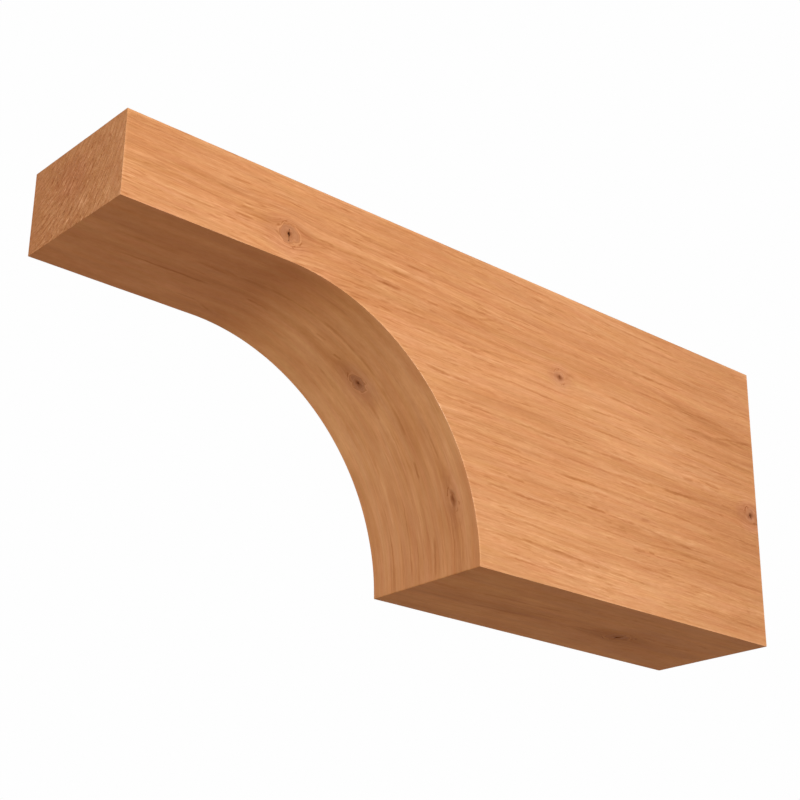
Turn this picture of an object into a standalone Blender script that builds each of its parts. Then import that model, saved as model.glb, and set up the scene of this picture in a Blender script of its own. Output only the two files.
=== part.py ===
"""Rafter tail: one stick of dressed softwood with a quarter-round cove sawn out under its nose.

The nose points along -X and the square-cut wall end faces +X, so the grain runs along X.
The stick is WIDTH across Y. Its flat underside lies on z = 0, and the origin is on that plane
under the middle of the length and of the width.
"""
import math

import bmesh
import bpy

# Driving dimensions. The section is a nominal 100 x 200 mm timber, dressed on all four faces
LENGTH = 0.500
WIDTH = 0.090
DEPTH = 0.190
NOSE_DEPTH = 0.050
NOSE_RUN = 0.105

# The cove starts level with the underside of the nose and ends upright at the underside of the
# block, so its radius is all the depth that the nose doesn't have
COVE_RADIUS = DEPTH - NOSE_DEPTH
COVE_STEPS = 60

# Every long edge is eased by a light pass of the plane or of sandpaper
ARRIS = 0.0008
ARRIS_STEPS = 2

# Places along X
NOSE_X = -LENGTH / 2
WALL_X = LENGTH / 2
COVE_CENTRE_X = NOSE_X + NOSE_RUN

# Edges that turn by less than this are facets of the round cove, and stay as they are
CORNER_ANGLE = math.radians(30)
FLAT_ANGLE = math.radians(0.1)
WELD_DISTANCE = 0.00001

WOOD_COLOUR = (0.63, 0.31, 0.13, 1.0)
WOOD_ROUGHNESS = 0.55


def clear_scene():
    for item in list(bpy.data.objects):
        bpy.data.objects.remove(item, do_unlink=True)


def softwood():
    """Oiled reddish-tan softwood."""
    material = bpy.data.materials.new("oiled_softwood")
    material.use_nodes = True
    shader = material.node_tree.nodes["Principled BSDF"]
    shader.inputs["Base Color"].default_value = WOOD_COLOUR
    shader.inputs["Roughness"].default_value = WOOD_ROUGHNESS
    shader.inputs["Metallic"].default_value = 0.0
    return material


def side_outline():
    """The side view of the stick, as x and z, round the corners from the wall end's foot."""
    points = [(WALL_X, 0.0), (WALL_X, DEPTH), (NOSE_X, DEPTH), (NOSE_X, COVE_RADIUS)]
    for step in range(COVE_STEPS + 1):
        turn = math.pi / 2 * step / COVE_STEPS
        x = COVE_CENTRE_X + COVE_RADIUS * math.sin(turn)
        points.append((x, COVE_RADIUS * math.cos(turn)))
    return points


def sawn_shape(name, points):
    """A flat outline given the stick's width, as one closed mesh that stands upright on X."""
    outline = bpy.data.curves.new(name + "_outline", "CURVE")
    outline.dimensions = "2D"
    outline.fill_mode = "BOTH"
    outline.extrude = WIDTH / 2
    spline = outline.splines.new("POLY")
    spline.points.add(len(points) - 1)
    for corner, (x, z) in zip(spline.points, points):
        corner.co = (x, z, 0.0, 1.0)
    spline.use_cyclic_u = True

    drawn = bpy.data.objects.new(name + "_outline", outline)
    bpy.context.scene.collection.objects.link(drawn)
    evaluated = drawn.evaluated_get(bpy.context.evaluated_depsgraph_get())
    mesh = bpy.data.meshes.new_from_object(evaluated)
    mesh.name = name
    bpy.data.objects.remove(drawn, do_unlink=True)
    bpy.data.curves.remove(outline)

    bm = bmesh.new()
    bm.from_mesh(mesh)
    bmesh.ops.remove_doubles(bm, verts=bm.verts, dist=WELD_DISTANCE)
    bmesh.ops.dissolve_limit(bm, angle_limit=FLAT_ANGLE, verts=bm.verts, edges=bm.edges)
    bmesh.ops.recalc_face_normals(bm, faces=bm.faces)
    bm.to_mesh(mesh)
    bm.free()
    return mesh


def ease_edges(piece):
    """A small round on every corner, none on the cove's own facets."""
    bevel = piece.modifiers.new("eased_edges", "BEVEL")
    bevel.width = ARRIS
    bevel.segments = ARRIS_STEPS
    bevel.limit_method = "ANGLE"
    bevel.angle_limit = CORNER_ANGLE


def make_rafter_tail(collection):
    mesh = sawn_shape("rafter_tail", side_outline())
    mesh.shade_smooth()
    mesh.set_sharp_from_angle(angle=CORNER_ANGLE)
    mesh.materials.clear()
    mesh.materials.append(softwood())
    piece = bpy.data.objects.new("rafter_tail", mesh)
    collection.objects.link(piece)
    piece.rotation_euler = (math.pi / 2, 0.0, 0.0)
    ease_edges(piece)


clear_scene()
parts = bpy.data.collections.new("rafter_tail")
bpy.context.scene.collection.children.link(parts)
make_rafter_tail(parts)
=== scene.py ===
import itertools
import math
import random
from collections import namedtuple

import bmesh
import bpy
from mathutils import Matrix, Vector, noise


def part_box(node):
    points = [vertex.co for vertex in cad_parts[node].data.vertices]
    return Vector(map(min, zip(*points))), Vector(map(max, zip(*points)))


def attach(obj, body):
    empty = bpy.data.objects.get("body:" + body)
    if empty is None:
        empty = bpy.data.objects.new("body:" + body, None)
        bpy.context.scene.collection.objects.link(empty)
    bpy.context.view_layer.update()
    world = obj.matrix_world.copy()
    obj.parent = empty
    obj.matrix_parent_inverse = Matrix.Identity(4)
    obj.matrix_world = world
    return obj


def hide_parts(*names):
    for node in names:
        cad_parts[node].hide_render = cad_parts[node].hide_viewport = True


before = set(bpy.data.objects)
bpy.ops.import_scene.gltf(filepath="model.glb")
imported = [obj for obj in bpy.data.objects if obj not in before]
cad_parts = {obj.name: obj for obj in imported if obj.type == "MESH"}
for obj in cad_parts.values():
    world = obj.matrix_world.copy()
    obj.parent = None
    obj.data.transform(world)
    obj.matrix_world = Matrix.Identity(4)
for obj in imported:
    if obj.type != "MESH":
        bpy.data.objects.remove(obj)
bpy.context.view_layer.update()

# The rafter tail is one stick of dressed softwood: a short nose, a quarter-round cove sawn out
# beneath it, and a deep block. Its faces are planed, the cove is sanded, every edge is eased by
# one light pass, and the two ends are left as the saw cut them.
low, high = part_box("rafter_tail")
WIDTH = high.y - low.y
NOSE_DEPTH = 0.050
NOSE_RUN = 0.105
SOFFIT_Z = high.z - NOSE_DEPTH
COVE_RADIUS = SOFFIT_Z - low.z
COVE_X = low.x + NOSE_RUN
COVE_FOOT_X = COVE_X + COVE_RADIUS
COVE_ARC = COVE_RADIUS * math.pi / 2
COVE_END = NOSE_RUN + COVE_ARC
ARRIS = 0.0008
ARRIS_STEPS = 3
CORNER_ANGLE = math.radians(30)
MILLIMETRES = 1000

# The stick is laid out in cells of this size, with this many rows of them up its sides
CELL = 0.0035
ROWS = 46

# What is noted on each face, point and corner of a face, for the steps below and for the material
LINE_NAMES = ("line_1", "line_2")
stick = bmesh.new()
on_arris = stick.faces.layers.int.new("on_arris")
on_side = stick.faces.layers.int.new("on_side")
end_grain = stick.faces.layers.float.new("end_grain")
standing = stick.faces.layers.float.new("standing")
on_top = stick.faces.layers.float.new("on_top")
# How much paler an eased edge is painted, for its wear and as a painted highlight
edge_wear_and_highlight = stick.faces.layers.float.new("edge_wear_and_highlight")
line_tones = [stick.faces.layers.float.new(name + "_tone") for name in LINE_NAMES]
split = stick.verts.layers.float.new("split")
grain = stick.loops.layers.float_vector.new("grain")
knot_place = stick.loops.layers.float_vector.new("knot")
knot_tone = stick.loops.layers.float.new("knot_tone")
knot_softness = stick.loops.layers.float.new("knot_softness")
figure = stick.loops.layers.float.new("figure")
inside_edge = stick.loops.layers.float.new("inside_edge")
line_places = [stick.loops.layers.float_vector.new(name) for name in LINE_NAMES]


def carry_on(vert, run):
    """Draws the outline straight on along the grain, and returns its last point."""
    steps = round(run / CELL)
    for _ in range(steps):
        vert = bmesh.ops.extrude_vert_indiv(stick, verts=[vert])["verts"][0]
        bmesh.ops.translate(stick, verts=[vert], vec=(run / steps, 0, 0))
    return vert


def of_kind(geometry, kind):
    """The points, the edges or the faces alone, out of what an operator has made."""
    return [item for item in geometry if isinstance(item, kind)]


# The underside is drawn first, from the tip round the cove to the wall
tip_foot = bmesh.ops.create_vert(stick, co=(low.x, low.y, SOFFIT_Z))["vert"][0]
springing = carry_on(tip_foot, NOSE_RUN)
cove = bmesh.ops.spin(
    stick,
    geom=[springing],
    cent=(COVE_X, low.y, low.z),
    axis=(0, 1, 0),
    angle=math.pi / 2,
    steps=round(COVE_ARC / CELL),
)
carry_on(of_kind(cove["geom_last"], bmesh.types.BMVert)[0], high.x - COVE_FOOT_X)


def above(x):
    """Where on the top edge the column over a point of the underside ends: evenly over the cove."""
    turn = min(max((x - COVE_X) / COVE_RADIUS, 0.0), 1.0)
    return x + COVE_RADIUS * (math.asin(turn) / (math.pi / 2) - turn)


def span_y(edge):
    return abs(edge.verts[0].co.y - edge.verts[1].co.y)


def span_z(edge):
    return abs(edge.verts[0].co.z - edge.verts[1].co.z)


# Its line is drawn up into the near side, and the side is given the stick's width
raised = bmesh.ops.extrude_edge_only(stick, edges=stick.edges[:])["geom"]
for vert in of_kind(raised, bmesh.types.BMVert):
    vert.co = (above(vert.co.x), low.y, high.z)
uprights = [edge for edge in stick.edges if span_z(edge) > NOSE_DEPTH / 2]
bmesh.ops.subdivide_edges(stick, edges=uprights, cuts=ROWS - 1, use_grid_fill=True)
far_side = bmesh.ops.extrude_face_region(stick, geom=stick.faces[:])["geom"]
bmesh.ops.translate(stick, verts=of_kind(far_side, bmesh.types.BMVert), vec=(0, WIDTH, 0))
crosswise = [edge for edge in stick.edges if span_y(edge) > WIDTH / 2]
bmesh.ops.subdivide_edges(stick, edges=crosswise, cuts=round(WIDTH / CELL) - 1, use_grid_fill=True)
bmesh.ops.recalc_face_normals(stick, faces=stick.faces[:])

# The corners are eased
corners = [edge for edge in stick.edges if edge.calc_face_angle(0.0) > CORNER_ANGLE]
eased = bmesh.ops.bevel(
    stick, geom=corners, affect="EDGES", offset=ARRIS, offset_type="OFFSET",
    segments=ARRIS_STEPS, profile=0.5, material=-1, clamp_overlap=True,
)
for face in eased["faces"]:
    face[on_arris] = 1

# Which side of the stick a face belongs to, by the way it looks. The cove's foot looks the same way as
# the tip does, so a face that looks that way is the tip's only at the tip
NEAR, FAR, TOP, UNDER, TIP, WALL = range(6)
LEANING = 0.7


def side_of(face):
    if abs(face.normal.y) > LEANING:
        return NEAR if face.normal.y < 0 else FAR
    if face.normal.z > LEANING:
        return TOP
    if face.normal.x > LEANING:
        return WALL
    return TIP if face.calc_center_median().x < low.x + ARRIS else UNDER


# How much an eased edge is painted paler, partly for its wear and partly as a painted highlight where it
# catches the light: most along the cove, least across the stick
COVE_WEAR_AND_HIGHLIGHT = 1.7
CROSS_WEAR_AND_HIGHLIGHT = 0.4
COVE_WEAR_AND_HIGHLIGHT_TOP = low.z + COVE_RADIUS * 0.95


def wear_and_highlight_of(face):
    centre = face.calc_center_median()
    if face[on_side] not in (NEAR, FAR):
        return CROSS_WEAR_AND_HIGHLIGHT
    by_cove = COVE_X < centre.x < COVE_FOOT_X + ARRIS and centre.z < COVE_WEAR_AND_HIGHLIGHT_TOP
    return COVE_WEAR_AND_HIGHLIGHT if by_cove else 1.0


for face in stick.faces:
    face[on_side] = side_of(face)
    face[end_grain] = face[on_side] in (TIP, WALL)
    face[standing] = face[on_side] in (NEAR, FAR)
    face[edge_wear_and_highlight] = face[on_arris] * wear_and_highlight_of(face)
    face[on_top] = face[on_side] == TOP


def run_of(side, point):
    """How far a point is from the tip along the grain, which follows the underside round the cove."""
    if side != UNDER or point.x < COVE_X:
        return point.x - low.x
    if point.x < COVE_FOOT_X and point.z > low.z:
        return NOSE_RUN + COVE_RADIUS * math.atan2(point.x - COVE_X, point.z - low.z)
    return NOSE_RUN + COVE_ARC + point.x - COVE_FOOT_X


def laid_flat(side, point):
    """A point of a side as it lies on the bench: along the grain from the tip, and across it."""
    return Vector((run_of(side, point), point.z if side in (NEAR, FAR) else point.y))


# The saw has left fine marks on both ends, so they are cut finer than the planed faces
TIP_CUTS = 2
WALL_CUTS = 1


def edges_of(faces):
    """Every edge of these faces, each of them once."""
    return list(dict.fromkeys(edge for face in faces for edge in face.edges))


def sawn_edges(end):
    """The edges of an end's own faces, without the rest of the eased corners."""
    return edges_of([face for face in stick.faces if face[on_side] == end and not face[on_arris]])


across_tip = [edge for edge in sawn_edges(TIP) if span_y(edge) > CELL / 3]
bmesh.ops.subdivide_edges(stick, edges=across_tip, cuts=TIP_CUTS, use_grid_fill=True)
bmesh.ops.subdivide_edges(stick, edges=sawn_edges(WALL), cuts=WALL_CUTS, use_grid_fill=True)

# Branches that the saw cut through. Each knot has its side, its middle along and across the grain, half
# its length and half its width, how dark it is, how softly it ends, how deep and how dark its heart's splits
# are, the dark partly painted shade, and the splits at its heart, as a turn, a reach and a width
Knot = namedtuple("Knot", "side middle half_size darkness softness blackness splits")
KNOTS = [Knot(*listed) for listed in (
    (NEAR, (0.1050, 0.1561), (0.0068, 0.0055), 1.0, 0.15, 1.0,
     ((90, 0.0010, 0.0021), (-60, 0.0010, 0.0020), (-90, 0.0044, 0.0008), (90, 0.0028, 0.0007))),
    (NEAR, (0.3133, 0.1336), (0.0043, 0.0036), 1.05, 0.85, 0.35,
     ((100, 0.0014, 0.0014), (-80, 0.0018, 0.0014), (20, 0.0016, 0.0008))),
    (NEAR, (0.4930, 0.0870), (0.0054, 0.0047), 1.25, 0.75, 0.8,
     ((100, 0.0018, 0.0012), (-76, 0.0028, 0.0010), (190, 0.0012, 0.0008))),
    (UNDER, (0.2000, 0.0010), (0.0062, 0.0043), 1.2, 0.2, 0.45,
     ((50, 0.0014, 0.0016), (-130, 0.0016, 0.0016), (-30, 0.0034, 0.0008))),
    (UNDER, (0.2827, -0.0297), (0.0062, 0.0031), 0.95, 1.0, 0.05,
     ((10, 0.0018, 0.0007), (170, 0.0020, 0.0007), (80, 0.0008, 0.0008))),
    (UNDER, (0.4940, 0.0055), (0.0088, 0.0062), 1.05, 0.2, 0.75,
     ((80, 0.0042, 0.0022), (-65, 0.0042, 0.0022), (170, 0.0034, 0.0014))),
    (FAR, (0.1720, 0.1610), (0.0062, 0.0050), 1.0, 0.3, 0.9,
     ((95, 0.0012, 0.0018), (-80, 0.0012, 0.0018), (-85, 0.0036, 0.0007))),
    (FAR, (0.3560, 0.1180), (0.0046, 0.0034), 0.9, 0.9, 0.5,
     ((70, 0.0016, 0.0013), (-110, 0.0018, 0.0012))),
    (FAR, (0.4420, 0.0520), (0.0036, 0.0026), 1.0, 1.0, 0.4,
     ((90, 0.0012, 0.0012), (-90, 0.0012, 0.0011))),
    (TOP, (0.2260, 0.0140), (0.0058, 0.0044), 0.9, 0.5, 0.8,
     ((30, 0.0018, 0.0014), (205, 0.0024, 0.0012))),
    (TOP, (0.4080, -0.0170), (0.0040, 0.0030), 0.9, 1.0, 0.4,
     ((80, 0.0012, 0.0012), (-100, 0.0014, 0.0012))),
)]

# The mesh is made finer round a knot in three steps, by how many of its half lengths they reach, and
# once more at its heart
KNOT_REACHES = (2.0, 1.5, 1.15)
HEART_REACH = 0.0042


def split_finer(side, middle, reach):
    """Divides in four the faces of a side that lie within reach of a place on it."""
    within = []
    for face in stick.faces:
        if face[on_side] == side:
            centre = face.calc_center_median()
            close = abs(centre.x - low.x - middle.x) < COVE_RADIUS
            if close and (laid_flat(side, centre) - middle).length < reach:
                within.append(face)
    bmesh.ops.subdivide_edges(stick, edges=edges_of(within), cuts=1, use_grid_fill=True)


for knot in KNOTS:
    for reach in KNOT_REACHES:
        split_finer(knot.side, Vector(knot.middle), reach * knot.half_size[0])
    split_finer(knot.side, Vector(knot.middle), HEART_REACH)

# How far off a knot is still looked for, in its own half lengths and half widths, and what a place
# with no knot near is told
FAR_OFF = 9.0
NO_KNOT = (FAR_OFF, FAR_OFF, CELL)


def in_knot(knot, flat):
    """Where a place on a side lies from a knot's middle, in its own half lengths and half widths."""
    (run, across), (half_length, half_width) = knot.middle, knot.half_size
    return Vector(((flat.x - run) / half_length, (flat.y - across) / half_width))


def knot_near(side, flat):
    """The nearest knot of a side, or nothing where none is near."""
    best, found = FAR_OFF, None
    for knot in KNOTS:
        if knot.side == side:
            away = in_knot(knot, flat).length
            if away < best:
                best, found = away, knot
    return found


# Dark lines of late wood in the figure. Each has where it starts and ends, in millimetres along the
# grain from the tip and across it, half its width in tenths of a millimetre, and its darkness in hundredths
DARK_LINES = {
    NEAR: [
        (195, 186.0, 345, 183.6, 5, 17), (345, 183.6, 430, 181.3, 5, 15), (285, 180.0, 335, 179.0, 9, 9),
        (112, 184.8, 150, 184.5, 4, 13), (388, 177.6, 430, 177.0, 7, 15), (428, 177.2, 478, 178.3, 5, 13),
        (0, 176.0, 62, 175.9, 6, 9), (62, 176.0, 80, 176.2, 6, 20), (80, 176.0, 165, 173.2, 5, 18),
        (152, 172.4, 184, 171.7, 10, 16), (184, 172.4, 310, 170.4, 5, 17), (310, 169.6, 350, 170.6, 5, 13),
        (378, 170.0, 428, 170.3, 5, 13), (475, 170.2, 490, 170.0, 6, 14), (0, 166.0, 34, 166.2, 5, 10),
        (12, 165.0, 52, 163.0, 5, 13), (188, 166.6, 202, 166.0, 6, 19), (220, 163.4, 262, 163.0, 4, 9),
        (126, 160.2, 136, 160.0, 7, 22), (177, 159.0, 192, 159.3, 9, 24), (68, 158.8, 96, 158.3, 5, 19),
        (112, 158.0, 138, 156.3, 5, 15), (262, 157.4, 304, 157.7, 6, 26), (304, 157.8, 346, 157.5, 4, 9),
        (345, 157.1, 376, 156.6, 6, 19), (380, 156.6, 403, 156.5, 9, 25), (400, 156.5, 428, 157.2, 6, 20),
        (446, 156.8, 500, 157.2, 8, 11), (0, 154.2, 16, 155.4, 5, 17), (16, 153.9, 62, 153.5, 5, 15),
        (68, 155.8, 82, 155.9, 7, 23), (242, 155.4, 252, 155.2, 6, 17), (222, 153.6, 234, 153.5, 6, 20),
        (146, 150.0, 172, 149.7, 4, 15), (170, 150.3, 186, 149.2, 11, 30), (186, 150.0, 206, 149.2, 5, 13),
        (204, 149.0, 214, 148.8, 6, 18), (224, 149.4, 246, 150.2, 8, 25), (244, 150.2, 262, 154.5, 6, 15),
        (262, 147.2, 316, 146.4, 5, 13), (375, 144.2, 430, 144.0, 5, 12), (428, 143.4, 484, 143.6, 5, 16),
        (178, 136.3, 206, 137.0, 6, 17), (206, 137.0, 216, 137.1, 6, 18), (350, 133.2, 402, 132.0, 6, 18),
        (402, 131.6, 434, 131.6, 5, 10), (430, 132.0, 447, 132.6, 6, 17), (444, 132.0, 480, 131.2, 12, 26),
        (458, 133.2, 500, 138.2, 9, 22), (250, 132.0, 292, 134.2, 5, 12), (168, 128.4, 236, 129.6, 5, 15),
        (230, 129.2, 256, 131.6, 5, 13), (280, 124.6, 342, 122.2, 5, 13), (337, 120.0, 374, 120.4, 6, 24),
        (372, 120.4, 412, 119.4, 5, 13), (433, 118.4, 462, 118.6, 6, 17), (464, 119.0, 500, 118.3, 7, 22),
        (250, 118.2, 338, 116.4, 5, 14), (313, 111.8, 348, 111.0, 6, 13), (202, 109.4, 224, 107.9, 7, 23),
        (222, 108.0, 262, 106.7, 9, 21), (262, 107.0, 304, 107.6, 5, 14), (343, 107.6, 372, 107.2, 5, 19),
        (370, 107.1, 388, 107.8, 5, 14), (420, 106.6, 448, 106.5, 6, 17), (450, 109.2, 472, 109.0, 6, 18),
        (454, 106.6, 492, 107.2, 5, 15), (446, 98.2, 462, 98.1, 8, 20), (424, 96.6, 436, 96.6, 9, 20),
        (420, 100.2, 448, 100.0, 5, 12), (212, 94.6, 236, 94.0, 6, 23), (234, 93.8, 318, 92.9, 6, 24),
        (328, 93.2, 384, 93.4, 7, 22), (382, 93.2, 424, 92.0, 6, 13), (250, 83.2, 300, 82.3, 4, 14),
        (298, 82.2, 360, 83.1, 4, 15), (358, 82.8, 402, 83.8, 7, 17), (402, 84.0, 442, 84.6, 9, 27),
        (364, 78.4, 380, 78.2, 6, 22), (438, 80.8, 464, 79.8, 6, 13), (462, 87.2, 474, 86.5, 7, 20),
        (254, 76.7, 282, 75.8, 6, 20), (250, 74.2, 298, 71.8, 5, 15), (310, 71.1, 346, 70.7, 8, 26),
        (344, 70.6, 392, 69.8, 5, 15), (388, 69.6, 440, 67.9, 5, 18), (436, 67.8, 453, 67.1, 7, 26),
        (453, 66.8, 500, 66.1, 5, 15), (339, 66.0, 354, 66.3, 7, 17), (250, 59.2, 264, 58.5, 5, 16),
        (266, 59.1, 282, 57.6, 8, 24), (306, 57.2, 336, 55.9, 5, 14), (332, 55.6, 352, 54.8, 8, 29),
        (350, 54.9, 378, 54.4, 5, 17), (376, 54.2, 410, 51.4, 5, 12), (412, 50.1, 430, 49.6, 7, 24),
        (426, 49.6, 448, 49.0, 5, 15), (250, 50.2, 270, 49.7, 6, 17), (266, 49.4, 324, 47.9, 7, 26),
        (352, 47.5, 370, 47.7, 6, 19), (334, 45.1, 382, 43.4, 5, 17), (378, 43.8, 418, 46.0, 4, 13),
        (262, 44.6, 330, 43.4, 5, 9), (349, 40.3, 360, 40.2, 6, 18), (373, 38.5, 386, 38.3, 8, 21),
        (388, 39.4, 394, 39.0, 8, 28), (392, 38.4, 430, 37.2, 6, 19), (428, 37.3, 462, 36.0, 5, 14),
        (458, 36.1, 500, 36.0, 6, 19), (268, 37.2, 322, 36.0, 5, 12), (260, 34.1, 332, 31.2, 5, 13),
        (330, 31.1, 382, 29.4, 5, 15), (374, 28.7, 442, 25.4, 6, 17), (250, 24.2, 302, 22.0, 5, 19),
        (300, 21.7, 332, 20.4, 6, 22), (330, 20.7, 382, 18.4, 5, 15), (376, 18.6, 402, 16.4, 6, 14),
        (424, 13.7, 462, 11.9, 6, 17), (460, 12.0, 494, 9.8, 6, 19), (262, 10.1, 292, 9.8, 6, 19),
        (290, 9.9, 346, 8.4, 5, 16), (344, 8.6, 378, 6.9, 5, 14), (299, 13.6, 312, 13.0, 6, 17),
    ],
    UNDER: [
        (15, -11.4, 66, -12.0, 11, 10), (68, -11.6, 92, -10.2, 10, 15), (86, -14.0, 98, -10.6, 9, 15),
        (97, -11.0, 118, -11.0, 14, 13), (115, -12.0, 152, -13.5, 9, 12), (150, -14.0, 206, -13.6, 9, 15),
        (206, -12.8, 242, -10.2, 9, 17), (254, -9.2, 266, -8.5, 8, 22), (298, -9.6, 326, -8.6, 9, 19),
        (30, 6.9, 94, 6.5, 8, 24), (114, 6.6, 132, 6.9, 9, 18), (67, -2.1, 84, -1.9, 6, 13),
        (103, -1.6, 118, -2.2, 6, 9), (82, 27.3, 97, 27.6, 7, 12), (96, 27.7, 110, 34.2, 8, 12),
        (160, -2.0, 168, -3.2, 8, 22), (177, 0.9, 183, -1.0, 8, 24), (178, 17.6, 199, 19.2, 8, 13),
        (130, -30.2, 162, -31.4, 10, 9), (212, 2.9, 226, 2.4, 7, 17), (236, -28.0, 260, -27.6, 5, 15),
        (226, -1.0, 262, -0.2, 5, 12), (236, 20.6, 258, 21.4, 6, 12), (270, 10.4, 322, 11.2, 5, 14),
        (286, -26.0, 325, -24.6, 4, 15), (292, -32.4, 325, -31.4, 4, 13), (284, 26.0, 325, 27.4, 4, 13),
        (292, 17.8, 325, 18.8, 4, 13), (300, -16.0, 325, -15.2, 4, 12), (296, 4.6, 325, 5.2, 4, 12),
        (325, -5.6, 348, -4.6, 12, 16), (325, 13.0, 372, 12.4, 13, 11), (358, -7.6, 404, -9.8, 12, 13),
        (372, 12.6, 412, 10.4, 11, 12), (400, -10.4, 446, -13.4, 11, 11), (414, 2.4, 432, 1.2, 9, 12),
        (450, 7.4, 478, 3.6, 12, 15), (505, -6.0, 520, -4.4, 9, 13), (530, -1.0, 556, -3.6, 11, 13),
        (546, -16.8, 558, -14.4, 10, 11), (500, 6.0, 520, 7.2, 9, 10), (338, 29.0, 410, 27.0, 8, 8),
        (420, 30.0, 500, 27.4, 8, 8), (440, -27.0, 520, -30.0, 9, 8),
    ],
}

# The hidden sides have lines of their own, drawn by chance in the same measures, and slanted towards
# the wall as the grain is
TOWARDS_WALL = -0.024
LINE_RUNS = (12.0, 20.0, 30.0, 45.0, 60.0)
LINE_HALF_WIDTHS = (4, 5, 5, 6, 6, 7, 9)
draws = random.Random(12)
for side, count, lowest, highest in ((FAR, 110, 2.0, 188.0), (TOP, 52, -43.0, 43.0)):
    DARK_LINES[side] = []
    for _ in range(count):
        start = draws.uniform(-30.0, 480.0)
        run = draws.choice(LINE_RUNS) * draws.uniform(0.7, 1.3)
        across = draws.uniform(lowest, highest)
        across_end = across + run * (TOWARDS_WALL + draws.uniform(-0.012, 0.012))
        half_width = draws.choice(LINE_HALF_WIDTHS)
        darkness = draws.uniform(9, 19) + 60 / run
        DARK_LINES[side].append((start, across, start + run, across_end, half_width, darkness))

# How far off a line is still looked for, and the line that stands in where there is none
SIGHT = 9.0
NO_LINE = (99, 99, 100, 99, 1, 0)


def lines_near(side, flat):
    """The two dark lines of a side nearest to a place on it."""
    run, across = flat.x * MILLIMETRES, flat.y * MILLIMETRES
    found = []
    for line in DARK_LINES.get(side, ()):
        start, start_across, end, end_across, _, _ = line
        beside = start - SIGHT < run < end + SIGHT
        if beside and min(start_across, end_across) - SIGHT < across < max(start_across, end_across) + SIGHT:
            share = min(max((run - start) / (end - start), 0.0), 1.0)
            beyond = run - start - share * (end - start)
            away = math.hypot(beyond, across - start_across - share * (end_across - start_across))
            found.append((away, line))
    found.sort(key=lambda pair: pair[0])
    return [line for _, line in found[:2]] + [NO_LINE] * (2 - len(found))


def along_line(line, flat):
    """How far along a line a place is, from -1 at its start to 1 at its end, how far off it, and half
    the line's width, the last two in millimetres."""
    start, start_across, end, end_across, half_width, _ = line
    share = (flat.x * MILLIMETRES - start) / (end - start)
    off = flat.y * MILLIMETRES - start_across - share * (end_across - start_across)
    return (2 * share - 1, off, half_width / 10)


def from_edge(side, point):
    """How far a point of a long side is from the nearest edge of that side, in millimetres."""
    if side not in (NEAR, FAR):
        return MILLIMETRES * (WIDTH / 2 - abs(point.y))
    under = point.z - SOFFIT_Z
    if point.x > COVE_X:
        under = math.hypot(point.x - COVE_X, point.z - low.z) - COVE_RADIUS
    if point.x > COVE_FOOT_X:
        under = min(under, point.z - low.z)
    return MILLIMETRES * min(under, high.z - point.z, point.x - low.x, high.x - point.x)


# How strongly the fine figure shows: most on the nose's sides, least on the soffit, then more and more
# down the cove to its foot
FINE_NOSE = 1.35
FINE_SOFFIT = 0.23
FINE_FOOT = 0.66
FINE_FLAT = 0.45


def fineness(side, run, on_flat):
    """The strength of the fine figure at this run from the tip, or on the flat underside."""
    if side != UNDER:
        return max(1.0, FINE_NOSE + (1.0 - FINE_NOSE) * run / (NOSE_RUN + COVE_RADIUS))
    if on_flat:
        return FINE_FLAT
    down = min(max((run - NOSE_RUN) / COVE_ARC, 0.0), 1.0)
    return FINE_SOFFIT + (FINE_FOOT - FINE_SOFFIT) * down ** 2


# Each corner of a face is told its way along the grain and across it, and its nearest knot and lines
for face in stick.faces:
    side = face[on_side]
    centre = laid_flat(side, face.calc_center_median())
    knot = knot_near(side, centre)
    lines_here = lines_near(side, centre)
    for layer, (*_, darkness) in zip(line_tones, lines_here):
        face[layer] = darkness / 100
    for loop in face.loops:
        point = loop.vert.co
        flat = laid_flat(side, point)
        loop[figure] = fineness(side, flat.x, centre.x > COVE_END)
        loop[inside_edge] = from_edge(side, point)
        loop[grain] = (flat.x, flat.y, SOFFIT_Z) if side == UNDER else (flat.x, point.y, point.z)
        loop[knot_place] = NO_KNOT
        if knot is not None:
            loop[knot_place] = (*in_knot(knot, flat), knot.half_size[1])
            loop[knot_tone] = knot.darkness
            loop[knot_softness] = knot.softness
        for layer, line in zip(line_places, lines_here):
            loop[layer] = along_line(line, flat)

# Relief, all of it cut inwards: dished and rippled knots with splits at the heart, the saw's marks on
# the ends, and the wear of the edges, which no hand makes quite even
KNOT_DISH = 0.00018
KNOT_RIPPLES = 9.0
SPLIT_DEPTH = 0.0008
SPLIT_TAPER = 0.8
SPLIT_STEEPNESS = 1.6
SAW_DEPTH = 0.00012
SAW_PITCH = 0.0031
SAW_TILT = 0.12
TORN_FIBRES = 900.0
WEAR = 0.00022
LONG_WEAR = 30.0
SHORT_WEAR = 80.0


def heart_split(splits, away):
    """How far inside a split a point is, from 0 at its lip to 1 at its middle."""
    deepest = 0.0
    for turn, reach, width in splits:
        line = Vector((math.cos(math.radians(turn)), math.sin(math.radians(turn))))
        along = min(max(away.dot(line), 0.0), reach)
        half = width / 2 * (1.0 - SPLIT_TAPER * along / reach)
        deepest = max(deepest, 1.0 - (away - line * along).length / half)
    return deepest


def saw_marks(side, point):
    """How deep the saw has marked an end. The pitch of its teeth shows on the wall end alone."""
    rough = noise.fractal(point * TORN_FIBRES, 0.9, 2.0, 3)
    teeth = math.sin((point.z + point.y * SAW_TILT) * 2 * math.pi / SAW_PITCH)
    return SAW_DEPTH * (0.5 + 0.3 * rough + (0.2 * teeth if side == WALL else 0.0))


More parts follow.
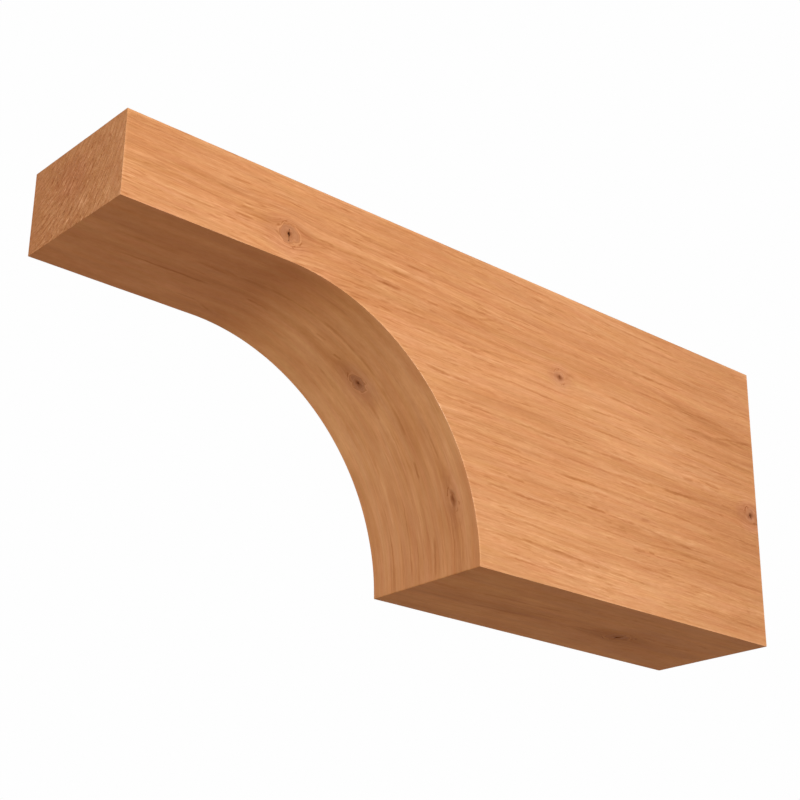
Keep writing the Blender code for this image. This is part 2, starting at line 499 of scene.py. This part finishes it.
def cut_in(vert, side):
    """How deep the relief is at a point that lies on one side only."""
    if side in (TIP, WALL):
        return saw_marks(side, vert.co)
    flat = laid_flat(side, vert.co)
    knot = knot_near(side, flat)
    if knot is None:
        return 0.0
    away = flat - Vector(knot.middle)
    half_length, half_width = knot.half_size
    near = Vector((away.x / half_length, away.y / half_width)).length
    dish = KNOT_DISH * max(0.0, 1.0 - near ** 4) * (0.6 + 0.4 * math.cos(near * KNOT_RIPPLES))
    vert[split] = min(1.0, SPLIT_STEEPNESS * heart_split(knot.splits, away)) * knot.blackness
    return dish + SPLIT_DEPTH * vert[split]


for face in stick.faces:
    face.normal_update()
depths = {}
for vert in stick.verts:
    sides = {face[on_side] for face in vert.link_faces}
    inward = -sum((face.normal for face in vert.link_faces), Vector())
    if any(face[on_arris] for face in vert.link_faces):
        worn = 0.5 + 0.6 * noise.noise(vert.co * LONG_WEAR) + 0.2 * noise.noise(vert.co * SHORT_WEAR)
        depths[vert] = inward.normalized() * WEAR * max(0.0, worn - 0.25)
    elif len(sides) == 1:
        depths[vert] = inward.normalized() * cut_in(vert, sides.pop())
for vert, depth in depths.items():
    vert.co += depth

bmesh.ops.recalc_face_normals(stick, faces=stick.faces[:])
for face in stick.faces:
    face.smooth = True
SHARP_ANGLE = math.radians(50)
wood_mesh = bpy.data.meshes.new("rafter_tail_wood")
stick.to_mesh(wood_mesh)
stick.free()
wood_mesh.set_sharp_from_angle(angle=SHARP_ANGLE)
timber = bpy.data.objects.new("rafter_tail_wood", wood_mesh)
bpy.context.scene.collection.objects.link(timber)
flats_first = timber.modifiers.new("flats_first", "WEIGHTED_NORMAL")
flats_first.mode = "FACE_AREA"
flats_first.weight = 50
flats_first.keep_sharp = True

# The wood is a warm tan softwood, oiled and left nearly matt. Everything in its figure is a tone, below
# nothing for darker and above for paler, and all the tones are added up before they colour the wood
WOOD = (0.504, 0.2260, 0.0935)

wood = bpy.data.materials.new("oiled_softwood")
wood.use_nodes = True
tree = wood.node_tree
surface = tree.nodes["Principled BSDF"]


def feed(socket, value):
    if isinstance(value, bpy.types.NodeSocket):
        tree.links.new(value, socket)
    else:
        socket.default_value = value


def worked(operation, *values, clamped=False):
    """One step of arithmetic with numbers."""
    step = tree.nodes.new("ShaderNodeMath")
    step.operation = operation
    step.use_clamp = clamped
    for socket, value in zip(step.inputs, values):
        feed(socket, value)
    return step.outputs[0]


def moved(operation, first, second):
    """One step of arithmetic with points."""
    step = tree.nodes.new("ShaderNodeVectorMath")
    step.operation = operation
    feed(step.inputs[0], first)
    feed(step.inputs["Scale" if operation == "SCALE" else 1], second)
    return step.outputs["Value" if operation == "LENGTH" else "Vector"]


def length_of(point):
    return moved("LENGTH", point, (0, 0, 0))


def total(*values):
    result = values[0]
    for value in values[1:]:
        result = worked("ADD", result, value)
    return result


def product(*values):
    result = values[0]
    for value in values[1:]:
        result = worked("MULTIPLY", result, value)
    return result


def without(mask):
    """1 where a mask is 0, and 0 where it is 1."""
    return worked("SUBTRACT", 1.0, mask)


def step_up(value, start, end):
    """0 below start and 1 above end, with a soft rise between them, or a fall where end is lower."""
    ramp = tree.nodes.new("ShaderNodeMapRange")
    ramp.interpolation_type = "SMOOTHSTEP"
    feed(ramp.inputs["Value"], value)
    feed(ramp.inputs["From Min"], min(start, end))
    feed(ramp.inputs["From Max"], max(start, end))
    feed(ramp.inputs["To Min"], 0.0 if start < end else 1.0)
    feed(ramp.inputs["To Max"], 1.0 if start < end else 0.0)
    return ramp.outputs["Result"]


def between(value, start, full, fading, end):
    """1 from full to fading, with a soft rise from start and a soft fall to end."""
    return product(step_up(value, start, full), step_up(value, end, fading))


def read(name, kind="Fac"):
    """What the mesh holds under a name, as a number, or as a point where kind is Vector."""
    attribute = tree.nodes.new("ShaderNodeAttribute")
    attribute.attribute_name = name
    return attribute.outputs[kind]


def parts_of(point):
    split_up = tree.nodes.new("ShaderNodeSeparateXYZ")
    feed(split_up.inputs[0], point)
    return split_up.outputs


def point_of(x, y, z):
    joined = tree.nodes.new("ShaderNodeCombineXYZ")
    for socket, value in zip(joined.inputs, (x, y, z)):
        feed(socket, value)
    return joined.outputs[0]


# Each figure starts at a place of its own in the noise, this much further on than the one before it
FIGURE_STEP_X = 7.3
FIGURE_STEP_Y = 3.1
figure_numbers = itertools.count(1)


def streaks(place, length, across, detail=1.0, roughness=0.75):
    """A noise in streaks of about this length and width."""
    number = next(figure_numbers)
    mapping = tree.nodes.new("ShaderNodeMapping")
    feed(mapping.inputs["Vector"], place)
    feed(mapping.inputs["Scale"], (1.0 / length, 1.0 / across, 1.0 / across))
    feed(mapping.inputs["Location"], (FIGURE_STEP_X * number, FIGURE_STEP_Y * number, 0.0))
    texture = tree.nodes.new("ShaderNodeTexNoise")
    feed(texture.inputs["Vector"], mapping.outputs[0])
    feed(texture.inputs["Scale"], 1.0)
    feed(texture.inputs["Detail"], detail)
    feed(texture.inputs["Roughness"], roughness)
    return texture


def stirred(place, length, across, detail=1.0):
    """A streaky push in every direction, about nothing."""
    colour = streaks(place, length, across, detail).outputs["Color"]
    return moved("SUBTRACT", colour, (0.5, 0.5, 0.5))


def swing(texture):
    """A noise about nothing, and not about its mean of a half."""
    return worked("SUBTRACT", texture.outputs[0], 0.5)


NOISE_SPREAD = 0.12


def tone(texture, amount):
    """A noise as a change of tone about nothing, of this usual size."""
    return worked("MULTIPLY", swing(texture), amount / NOISE_SPREAD)


def patchy(place, length, across, start, end):
    """Soft-edged patches, where a streaky noise rises from start to end."""
    return step_up(streaks(place, length, across).outputs[0], start, end)


def lines(place, length, across, thinness):
    """Long thin lines, 1 along their middle, where a streaky noise passes its mean."""
    away = worked("ABSOLUTE", swing(streaks(place, length, across, 0.6, 0.5)))
    return step_up(away, thinness, 0.0)


# What the mesh holds: masks, which are 1 on the faces they are named for, and measures. Lying takes in
# the ends, the top and the underside
end_mask = read("end_grain")
long_mask = without(end_mask)
standing_mask = read("standing")
lying_mask = without(standing_mask)
# The eased edges' paling is partly wear and partly painted highlight
edge_wear_and_highlight_mask = read("edge_wear_and_highlight")
split_mask = read("split")
figure_strength = read("figure")
edge_distance = read("inside_edge")
grain_place = read("grain", "Vector")
down_grain = parts_of(grain_place)[0]

# The grain parts round each knot like water round a pile, and closes again further off
PARTING = 1.25
PARTING_CORE = 0.5
PARTING_REACH = 14.0
knot_strength = read("knot_tone")
softness = read("knot_softness")
knot_u, knot_v, knot_width = parts_of(read("knot", "Vector"))
knot_square = total(product(knot_u, knot_u), product(knot_v, knot_v))
calm = worked("EXPONENT", product(knot_square, -1.0 / PARTING_REACH))
parted = worked("DIVIDE", PARTING, worked("ADD", knot_square, PARTING_CORE))
push = product(knot_width, knot_v, calm, parted)
across_way = point_of(0.0, lying_mask, standing_mask)
laid = moved("SUBTRACT", grain_place, moved("SCALE", across_way, push))

# It wanders a little, and drops towards the wall. That gives each point's place in the tree
GRAIN_DROP = 0.026
WANDER = (0.0, 0.010, 0.010)
WAVER = (0.0, 0.0010, 0.0010)
wander = stirred(laid, 0.26, 0.050)
waver = stirred(laid, 0.060, 0.010)
dropped = point_of(0.0, 0.0, product(parts_of(laid)[0], GRAIN_DROP))
in_tree = moved("ADD", moved("ADD", laid, dropped), moved("MULTIPLY", wander, WANDER))
in_tree = moved("ADD", in_tree, moved("MULTIPLY", waver, WAVER))

# Growth rings about a pith beyond the far top edge: a slow darkening towards each ring's late wood,
# then a quick return
PITH = (0.0, 0.060, 0.227)
RING_RATE = 1.36
RING_POWER = 0.7
LATE_WOOD_MEAN = 0.3
from_pith = moved("MULTIPLY", moved("SUBTRACT", in_tree, PITH), (0.0, MILLIMETRES, MILLIMETRES))
pith_distance = length_of(from_pith)
ring_count = product(worked("POWER", pith_distance, RING_POWER), RING_RATE)
late_wood = between(worked("FRACT", ring_count), 0.45, 0.86, 0.90, 1.0)
rings = worked("SUBTRACT", late_wood, LATE_WOOD_MEAN)

# Redder bands of the figure, and a paler one, each by whether its side stands, where it starts and ends
# along and across the grain, half its width and how dark it is. Their edges fray along the grain. The first
# two, the broadest, are painted shade, darkening the near side along its top by the tip and towards the wall
FIGURE_BANDS_AND_PAINTED_SHADE = (
    (1.0, (-0.150, 0.185), (0.230, 0.175), 0.0380, 0.128),
    (1.0, (0.420, 0.135), (0.600, 0.130), 0.1100, 0.09),
    (1.0, (0.330, 0.151), (0.540, 0.144), 0.0120, 0.08),
    (1.0, (0.190, 0.184), (0.370, 0.180), 0.0060, 0.08),
    (1.0, (0.330, 0.170), (0.450, 0.166), 0.0080, 0.06),
    (1.0, (0.170, 0.030), (0.430, 0.022), 0.0200, -0.04),
    (1.0, (0.040, 0.166), (0.105, 0.158), 0.0040, 0.06),
    (1.0, (0.105, 0.158), (0.310, 0.148), 0.0050, 0.07),
    (1.0, (0.215, 0.146), (0.262, 0.150), 0.0030, 0.08),
    (1.0, (0.420, 0.146), (0.520, 0.131), 0.0038, 0.13),
    (1.0, (0.225, 0.106), (0.330, 0.098), 0.0030, 0.06),
    (1.0, (0.340, 0.092), (0.500, 0.083), 0.0048, 0.10),
    (1.0, (0.300, 0.118), (0.380, 0.112), 0.0030, 0.05),
    (1.0, (0.255, 0.060), (0.390, 0.050), 0.0034, 0.08),
    (1.0, (0.350, 0.052), (0.520, 0.036), 0.0060, 0.10),
    (0.0, (0.000, -0.014), (0.220, -0.009), 0.0026, 0.06),
    (0.0, (0.010, 0.006), (0.200, 0.002), 0.0040, 0.07),
    (0.0, (0.200, -0.010), (0.330, -0.013), 0.0026, 0.06),
    (0.0, (0.262, -0.036), (0.335, -0.036), 0.0110, 0.05),
    (0.0, (0.325, 0.008), (0.520, -0.002), 0.0060, 0.06),
    (0.0, (0.420, 0.000), (0.590, 0.004), 0.0080, 0.03),
)
BAND_FRAY = (0.0, 0.014, 0.014)
BAND_FALL = 0.7
frayed = stirred(in_tree, 0.030, 0.0035, 1.5)
band_point = moved("ADD", laid, moved("MULTIPLY", frayed, BAND_FRAY))
band_run, band_y, band_z = parts_of(band_point)
band_across = total(product(band_z, standing_mask), product(band_y, lying_mask))
on_near = step_up(parts_of(grain_place)[1], 0.001, -0.001)
band_and_painted_shade_tones = []
for stands, (start, start_across), (end, end_across), half_width, darkness in FIGURE_BANDS_AND_PAINTED_SHADE:
    slope = (end_across - start_across) / (end - start)
    rise = worked("MULTIPLY_ADD", band_run, -slope, start * slope - start_across)
    off_band = worked("DIVIDE", worked("ADD", band_across, rise), half_width)
    along_band = worked("DIVIDE", worked("SUBTRACT", band_run, (start + end) / 2), (end - start) / 2)
    wide = product(off_band, off_band)
    long = worked("POWER", product(along_band, along_band), 2.0)
    here = worked("EXPONENT", product(total(wide, long), -BAND_FALL))
    side_here = product(standing_mask, on_near) if stands else lying_mask
    band_and_painted_shade_tones.append(product(here, side_here, -darkness))

# The figure of the long faces, from the broadest streaks to single fibres, with broken dark lines and
# short strokes in patches
LONG_FACE_PALING = 0.035
broad = streaks(in_tree, 0.240, 0.040)
middling = streaks(in_tree, 0.170, 0.0095)
fine = streaks(in_tree, 0.060, 0.0021)
fibres = streaks(in_tree, 0.018, 0.0007, 0.5)
ticks = streaks(in_tree, 0.0055, 0.0008, 1.0)
smoky = streaks(in_tree, 0.050, 0.020, 2.0)
ring_show = patchy(in_tree, 0.150, 0.022, 0.40, 0.62)
dark_lines = lines(in_tree, 0.160, 0.0060, 0.024)
dark_lines = product(dark_lines, patchy(in_tree, 0.040, 0.012, 0.44, 0.62))
thin_lines = lines(in_tree, 0.080, 0.0030, 0.030)
thin_lines = product(thin_lines, patchy(in_tree, 0.030, 0.006, 0.46, 0.64))
strokes = streaks(in_tree, 0.011, 0.0010, 0.5)
stroke_patches = patchy(in_tree, 0.040, 0.014, 0.40, 0.60)
dark_strokes = product(step_up(strokes.outputs[0], 0.39, 0.30), stroke_patches)
pale_strokes = product(step_up(strokes.outputs[0], 0.61, 0.72), stroke_patches)
long_face = total(
    tone(broad, 0.034),
    tone(middling, 0.044),
    product(tone(smoky, 0.060), lying_mask),
    product(tone(fine, 0.034), figure_strength),
    product(tone(fibres, 0.026), figure_strength),
    product(tone(ticks, 0.028), figure_strength),
    product(rings, ring_show, figure_strength, -0.12),
    product(dark_lines, figure_strength, -0.07),
    product(thin_lines, figure_strength, -0.10),
    product(dark_strokes, figure_strength, -0.18),
    product(pale_strokes, figure_strength, 0.11),
    LONG_FACE_PALING,
    total(*band_and_painted_shade_tones),
)

# The listed dark lines sway and fray a little, fade and come back, and have a paler line beside them.
# Off counts in the line's own half widths
SWAY = 2.4
FRAY = 1.3
PALE_BESIDE = 0.35
sway = product(swing(streaks(laid, 0.036, 0.012)), SWAY)
fray = product(swing(streaks(laid, 0.0050, 0.0022)), FRAY)
unbroken = total(0.60, product(patchy(laid, 0.016, 0.004, 0.38, 0.60), 0.60))
late_lines = []
for name in LINE_NAMES:
    along, off, half_width = parts_of(read(name, "Vector"))
    off = worked("DIVIDE", total(off, sway, fray), half_width)
    dark = step_up(worked("ABSOLUTE", off), 1.5, 0.3)
    pale = between(off, 1.2, 2.2, 2.4, 4.2)
    ends = step_up(worked("ABSOLUTE", along), 1.0, 0.6)
    line_tone = product(read(name + "_tone"), ends, unbroken)
    late_lines.append(product(total(product(dark, -1.0), product(pale, PALE_BESIDE)), line_tone))
long_face = total(long_face, total(*late_lines))

# End grain: the rings stand out, crossed by the saw's fine scratches and the open ends of fibres. The
# figure is faint at the sides and the top. The middle of the tip is darker, and its near foot paler
END_LIGHTNESS = 0.975
END_MIDDLE = (0.0, 0.005, 0.170)
END_FIGURE_AT_EDGES = 0.47
TOWARDS_FAR = -1.4
SCRATCHES_DRAWN_OUT = (1.0, 0.12, 0.12)
DASHES_DRAWN_OUT = (1.0, 0.35, 0.35)
_, end_y, end_z = parts_of(in_tree)
ring_way = point_of(product(pith_distance, 1 / MILLIMETRES), end_y, end_z)
end_scratches = streaks(moved("MULTIPLY", ring_way, SCRATCHES_DRAWN_OUT), 0.0011, 0.0011, 1.0)
end_blots = streaks(in_tree, 0.010, 0.010, 2.0)
end_specks = streaks(grain_place, 0.0010, 0.0010, 1.0)
end_dashes = streaks(moved("MULTIPLY", ring_way, DASHES_DRAWN_OUT), 0.0013, 0.0013, 1.0)
off_middle = moved("MULTIPLY", moved("SUBTRACT", grain_place, END_MIDDLE), (0.0, 1.0, 1.4))
middle = step_up(length_of(off_middle), 0.026, 0.006)
inside = step_up(edge_distance, 3.0, 18.0)
below_top = step_up(parts_of(off_middle)[2], 0.030, 0.004)
end_figure = total(END_FIGURE_AT_EDGES, product(inside, below_top, 1.0 - END_FIGURE_AT_EDGES))
near_foot = product(step_up(end_y, -0.012, -0.042), step_up(end_z, 0.160, 0.144))
end_face = total(
    product(end_y, TOWARDS_FAR),
    product(middle, -0.075),
    product(near_foot, 0.12),
    product(rings, step_up(end_blots.outputs[0], 0.40, 0.60), -0.20),
    product(tone(end_scratches, 0.086), end_figure),
    product(tone(end_dashes, 0.060), end_figure),
    product(step_up(end_dashes.outputs[0], 0.36, 0.27), end_figure, -0.36),
    product(step_up(end_dashes.outputs[0], 0.64, 0.73), end_figure, 0.19),
    tone(end_blots, 0.058),
    product(tone(end_specks, 0.034), end_figure),
    product(step_up(end_specks.outputs[0], 0.33, 0.25), end_figure, -0.22),
)

# A knot: its own tight rings round a dark heart, a pale ring of wood about it, and outside that a dark
# seam where the grain parts and closes. A soft one has no clear edge, and tails off along the grain.
# Out counts in the knot's own half lengths and half widths
HALO_SHAPE = (0.42, 0.85, 0.0)
TAIL_SHAPE = (0.38, 2.2, 0.0)
KNOT_RING_RATE = 22.0
HEART_WIDTH = 0.0014
crispness = without(product(softness, 0.85))
wobble = stirred(laid, 0.0042, 0.0032, 1.5)
ragged = point_of(total(0.8, softness), total(0.8, softness), 0.0)
knot_point = moved("ADD", point_of(knot_u, knot_v, 0.0), moved("MULTIPLY", wobble, ragged))
knot_out = length_of(knot_point)
halo_out = length_of(moved("MULTIPLY", knot_point, HALO_SHAPE))
tail_out = length_of(moved("MULTIPLY", knot_point, TAIL_SHAPE))
body_full = total(0.90, product(softness, -0.75))
body_edge = total(1.06, product(softness, 0.24))
inside_body = worked(
    "DIVIDE", worked("SUBTRACT", body_edge, knot_out), worked("SUBTRACT", body_edge, body_full), clamped=True
)
knot_body = product(inside_body, knot_strength)
knot_rim = product(between(knot_out, 0.84, 0.98, 1.0, 1.10), knot_strength, crispness)
pale_ring = product(between(knot_out, 1.02, 1.10, 1.16, 1.28), knot_strength, crispness)
seam_side = step_up(product(knot_u, knot_v), -0.10, -0.60)
seam_gaps = patchy(laid, 0.0040, 0.0030, 0.40, 0.58)
seam_ring = between(knot_out, 1.16, 1.28, 1.32, 1.50)
knot_seam = product(seam_ring, seam_side, seam_gaps, knot_strength)
knot_halo = product(step_up(halo_out, 1.8, 0.6), step_up(knot_out, 0.9, 1.3), knot_strength)
knot_tail = product(step_up(tail_out, 1.1, 0.3), knot_strength, softness)
knot_rings = worked("SINE", product(knot_out, KNOT_RING_RATE))
from_heart = product(length_of(point_of(knot_u, knot_v, 0.0)), knot_width)
heart_out = worked("DIVIDE", from_heart, HEART_WIDTH)
knot_heart = product(worked("EXPONENT", product(heart_out, heart_out, -1.0)), knot_strength)
around_knots = total(
    product(knot_body, -0.34),
    product(knot_body, knot_rings, 0.045),
    product(knot_rim, -0.24),
    product(pale_ring, 0.09),
    product(knot_seam, -0.52),
    product(knot_halo, -0.15),
    product(knot_tail, -0.16),
    product(knot_heart, -0.60),
)

# The underside and the ends are painted darker, as painted shade, and the flat past the cove's foot darker
# still. The cove is painted paler, most of all at its top, as painted light where it turns towards the light
UNDER_PAINTED_SHADE = -0.11
COVE_PAINTED_LIGHT = 0.09
COVE_TOP_PAINTED_LIGHT = 0.34
FLAT_PAINTED_SHADE = -0.06
under_mask = product(lying_mask, without(read("on_top")))
past_foot = step_up(down_grain, COVE_END - 0.001, COVE_END)
on_cove = product(step_up(down_grain, NOSE_RUN, 0.160), without(past_foot))
up_cove = step_up(down_grain, 0.325, 0.225)
cove_top = product(on_cove, up_cove)
cove_painted_light_tone = total(product(on_cove, COVE_PAINTED_LIGHT), product(cove_top, COVE_TOP_PAINTED_LIGHT))
painted_light_and_shade_below = product(total(UNDER_PAINTED_SHADE, cove_painted_light_tone, product(past_foot, FLAT_PAINTED_SHADE)), under_mask)

# The eased edges are painted paler, partly for their wear and partly as a painted highlight where they catch
# the light, and so is a broken rim of each long face beside them
EDGE_WEAR_AND_HIGHLIGHT = 0.46
RIM_WEAR_AND_HIGHLIGHT = 0.13
RIM_WIDTH = 1.7
RIM_FULL = 0.4
rim_breaks = patchy(laid, 0.020, 0.020, 0.36, 0.56)
long_rim = step_up(edge_distance, RIM_WIDTH, RIM_FULL)
rim = product(long_rim, total(0.4, product(rim_breaks, 0.6)), total(0.5, product(standing_mask, 0.5)))

side_tone = total(product(long_face, without(product(knot_body, 0.6))), around_knots)
end_tone = total(end_face, math.log(END_LIGHTNESS))
whole_tone = total(
    product(edge_wear_and_highlight_mask, EDGE_WEAR_AND_HIGHLIGHT),
    product(rim, long_mask, RIM_WEAR_AND_HIGHLIGHT),
    painted_light_and_shade_below,
    product(side_tone, long_mask),
    product(end_tone, end_mask),
)

# Apart from its tone the wood is yellower in one streak and pinker in the next
PINKNESS = (0.0, 0.190, 0.275)
PALENESS = (0.0, -0.060, 0.170)
pinker, paler, _ = parts_of(stirred(in_tree, 0.040, 0.0045, 2.0))

# Painted colour of light and shade: the underside is painted warmer, as the floor's warm light colours its
# shade, and the cove above its foot the warmest
PAINTED_WARMTH_UNDER = (0.0, 0.013, 0.015)
PAINTED_WARMTH_COVE = (0.0, 0.043, 0.175)
PAINTED_WARMTH_FLAT = (0.0, -0.020, 0.055)
cove_painted_warmth_share = product(on_cove, total(0.25, product(up_cove, 0.75)))

# The wood about a knot is pinker, but a little yellower on the flat underside. The tip's middle is redder
KNOT_FLUSH = (0.0, 0.0, 0.095)
END_FLUSH = (0.0, -0.048, 0.0)
on_the_flat = product(under_mask, past_foot)
flush_share = total(1.0, product(on_the_flat, -1.4))
flushed = product(step_up(knot_out, 3.2, 1.4), knot_strength, knot_strength, flush_share)

# The underside is a little mottled, less at the cove's foot and on the sides
MOTTLING = 0.023
foot = product(on_cove, step_up(down_grain, 0.200, 0.300))
mottle_share = total(product(under_mask, total(1.0, product(foot, -0.7))), product(standing_mask, 0.4))
mottled = product(tone(streaks(laid, 0.0045, 0.0022, 1.5), MOTTLING), mottle_share)
whole_tone = total(whole_tone, mottled)

# A tone moves red the least and blue the most, so it darkens the wood towards red
TONE_STEPS = (0.757, 1.147, 1.62)
channels = []
for level, share, under, on_the_cove, past_it, pink, pale, flush, end_flush in zip(
    WOOD, TONE_STEPS, PAINTED_WARMTH_UNDER, PAINTED_WARMTH_COVE, PAINTED_WARMTH_FLAT, PINKNESS, PALENESS, KNOT_FLUSH, END_FLUSH
):
    # The underside's painted warmth, the colour of its light and shade
    painted_warmth = total(under, product(cove_painted_warmth_share, on_the_cove), product(past_foot, past_it))
    streaked = total(product(pinker, pink), product(paler, pale), product(flushed, flush))
    hue = total(streaked, product(under_mask, painted_warmth, -1.0), product(middle, end_mask, end_flush))
    change = total(product(whole_tone, share), hue)
    channels.append(product(worked("EXPONENT", change), level))
coloured = tree.nodes.new("ShaderNodeCombineColor")
for socket, value in zip(coloured.inputs, channels):
    feed(socket, value)

# A knot is greyer than the wood about it. Down in its splits it is painted nearly black, partly for the
# split wood's own dark and partly as painted shade in the hollow
KNOT_GREYING = (0.93, 1.02, 1.30, 1.0)
SPLIT_DARK_AND_SHADE = (0.070, 0.018, 0.005, 1.0)
greyed = tree.nodes.new("ShaderNodeMix")
greyed.data_type = "RGBA"
greyed.blend_type = "MULTIPLY"
feed(greyed.inputs["Factor"], product(knot_body, total(0.6, product(on_the_flat, -0.5))))
feed(greyed.inputs["A"], coloured.outputs[0])
feed(greyed.inputs["B"], KNOT_GREYING)
split_darkened_and_shaded = tree.nodes.new("ShaderNodeMix")
split_darkened_and_shaded.data_type = "RGBA"
feed(split_darkened_and_shaded.inputs["Factor"], step_up(split_mask, 0.10, 0.80))
feed(split_darkened_and_shaded.inputs["A"], greyed.outputs["Result"])
feed(split_darkened_and_shaded.inputs["B"], SPLIT_DARK_AND_SHADE)
feed(surface.inputs["Base Color"], split_darkened_and_shaded.outputs["Result"])

# The oil leaves a faint sheen, least on the ends
OILED_ROUGHNESS = 0.58
rough = total(
    OILED_ROUGHNESS,
    tone(middling, 0.03),
    tone(fine, 0.02),
    product(end_mask, 0.14),
    product(knot_body, -0.06),
)
feed(surface.inputs["Roughness"], rough)
surface.inputs["Specular IOR Level"].default_value = 0.05

# The late wood, the thin lines and the saw's scratches can just be felt
BUMP_STRENGTH = 0.35
BUMP_DEPTH = 0.0004
bump = tree.nodes.new("ShaderNodeBump")
feed(bump.inputs["Strength"], BUMP_STRENGTH)
feed(bump.inputs["Distance"], BUMP_DEPTH)
side_height = total(tone(fine, 0.10), tone(fibres, 0.08), product(rings, -0.10), product(thin_lines, -0.25))
end_height = total(tone(end_scratches, 0.20), tone(end_specks, 0.25), product(rings, 0.20))
heights = total(product(side_height, long_mask, figure_strength), product(end_height, end_mask))
feed(bump.inputs["Height"], heights)
feed(surface.inputs["Normal"], bump.outputs["Normal"])

wood_mesh.materials.append(wood)
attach(timber, "root")
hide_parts("rafter_tail")

# The floor is a plain pale sheet, well below because the picture looks up at the stick. It pales
# into the backdrop's white long before its rim.
FLOOR_DROP = 1.0
FLOOR_RADIUS = 14.0
FLOOR_SIDES = 96
FLOOR_COLOUR = (0.480, 0.404, 0.336, 1.0)
FADE_FROM = 4.0
FADE_TO = 8.0
BACKDROP_WHITE = (0.991, 0.991, 0.991, 1.0)

ground = bmesh.new()
laid_below = Matrix.Translation((0, 0, low.z - FLOOR_DROP))
bmesh.ops.create_circle(ground, cap_ends=True, segments=FLOOR_SIDES, radius=FLOOR_RADIUS, matrix=laid_below)
floor_mesh = bpy.data.meshes.new("floor")
ground.to_mesh(floor_mesh)
ground.free()
floor = bpy.data.objects.new("floor", floor_mesh)
bpy.context.scene.collection.objects.link(floor)

# From here on the steps of arithmetic go into the floor's paint
floor_paint = bpy.data.materials.new("pale_floor")
floor_paint.use_nodes = True
tree = floor_paint.node_tree
tree.nodes.remove(tree.nodes["Principled BSDF"])
matt = tree.nodes.new("ShaderNodeBsdfDiffuse")
matt.inputs["Color"].default_value = FLOOR_COLOUR
glow = tree.nodes.new("ShaderNodeEmission")
glow.inputs["Color"].default_value = BACKDROP_WHITE
centred = moved("MULTIPLY", tree.nodes.new("ShaderNodeTexCoord").outputs["Object"], (1.0, 1.0, 0.0))
blend = tree.nodes.new("ShaderNodeMixShader")
feed(blend.inputs["Fac"], step_up(length_of(centred), FADE_FROM, FADE_TO))
tree.links.new(matt.outputs[0], blend.inputs[1])
tree.links.new(glow.outputs[0], blend.inputs[2])
tree.links.new(blend.outputs[0], tree.nodes["Material Output"].inputs["Surface"])
floor_mesh.materials.append(floor_paint)

# Plain studio light: an even white room, a soft lamp in front of the near side, and a weaker one on
# the left, towards the tip
LAMP_SIZE = 0.8
LAMPS_AIM = Vector((0.0, 0.0, 0.09))
room = bpy.data.worlds.new("white_room")
room.use_nodes = True
backdrop = room.node_tree.nodes["Background"]
backdrop.inputs["Color"].default_value = BACKDROP_WHITE
backdrop.inputs["Strength"].default_value = 1.0
bpy.context.scene.world = room


def soft_lamp(name, place, watts):
    """A round lamp that faces the stick, and that the camera doesn't see."""
    lamp = bpy.data.lights.new(name, "AREA")
    lamp.shape = "DISK"
    lamp.size = LAMP_SIZE
    lamp.energy = watts
    stand = bpy.data.objects.new(name, lamp)
    bpy.context.scene.collection.objects.link(stand)
    turned = (LAMPS_AIM - Vector(place)).to_track_quat("-Z", "Y").to_matrix().to_4x4()
    stand.matrix_world = Matrix.Translation(place) @ turned
    stand.visible_camera = False


soft_lamp("key", (-0.38, -1.3, 0.45), 12.6)
soft_lamp("fill", (-1.3, -0.9, 0.20), 1.4)

# The camera looks up at the near side and the tip, from the left and from below, as the picture does.
# Its place is in metres, its lens and sensor in millimetres
LENS = 76.066
SENSOR_WIDTH = 36.0
CAMERA_PLACE = (-0.6268, -0.6888, -0.2742)
CAMERA_TURN = math.radians(-41.114)
CAMERA_LIFT = math.radians(22.642)
CAMERA_ROLL = math.radians(0.662)
lens = bpy.data.cameras.new("camera")
lens.lens = LENS
lens.sensor_width = SENSOR_WIDTH
lens.clip_start = 0.01
lens.clip_end = 100.0
camera = bpy.data.objects.new("camera", lens)
bpy.context.scene.collection.objects.link(camera)
camera.matrix_world = (
    Matrix.Translation(CAMERA_PLACE)
    @ Matrix.Rotation(CAMERA_TURN, 4, "Z")
    @ Matrix.Rotation(math.pi / 2 + CAMERA_LIFT, 4, "X")
    @ Matrix.Rotation(CAMERA_ROLL, 4, "Z")
)
bpy.context.scene.camera = camera
bpy.context.scene.view_settings.view_transform = "Standard"
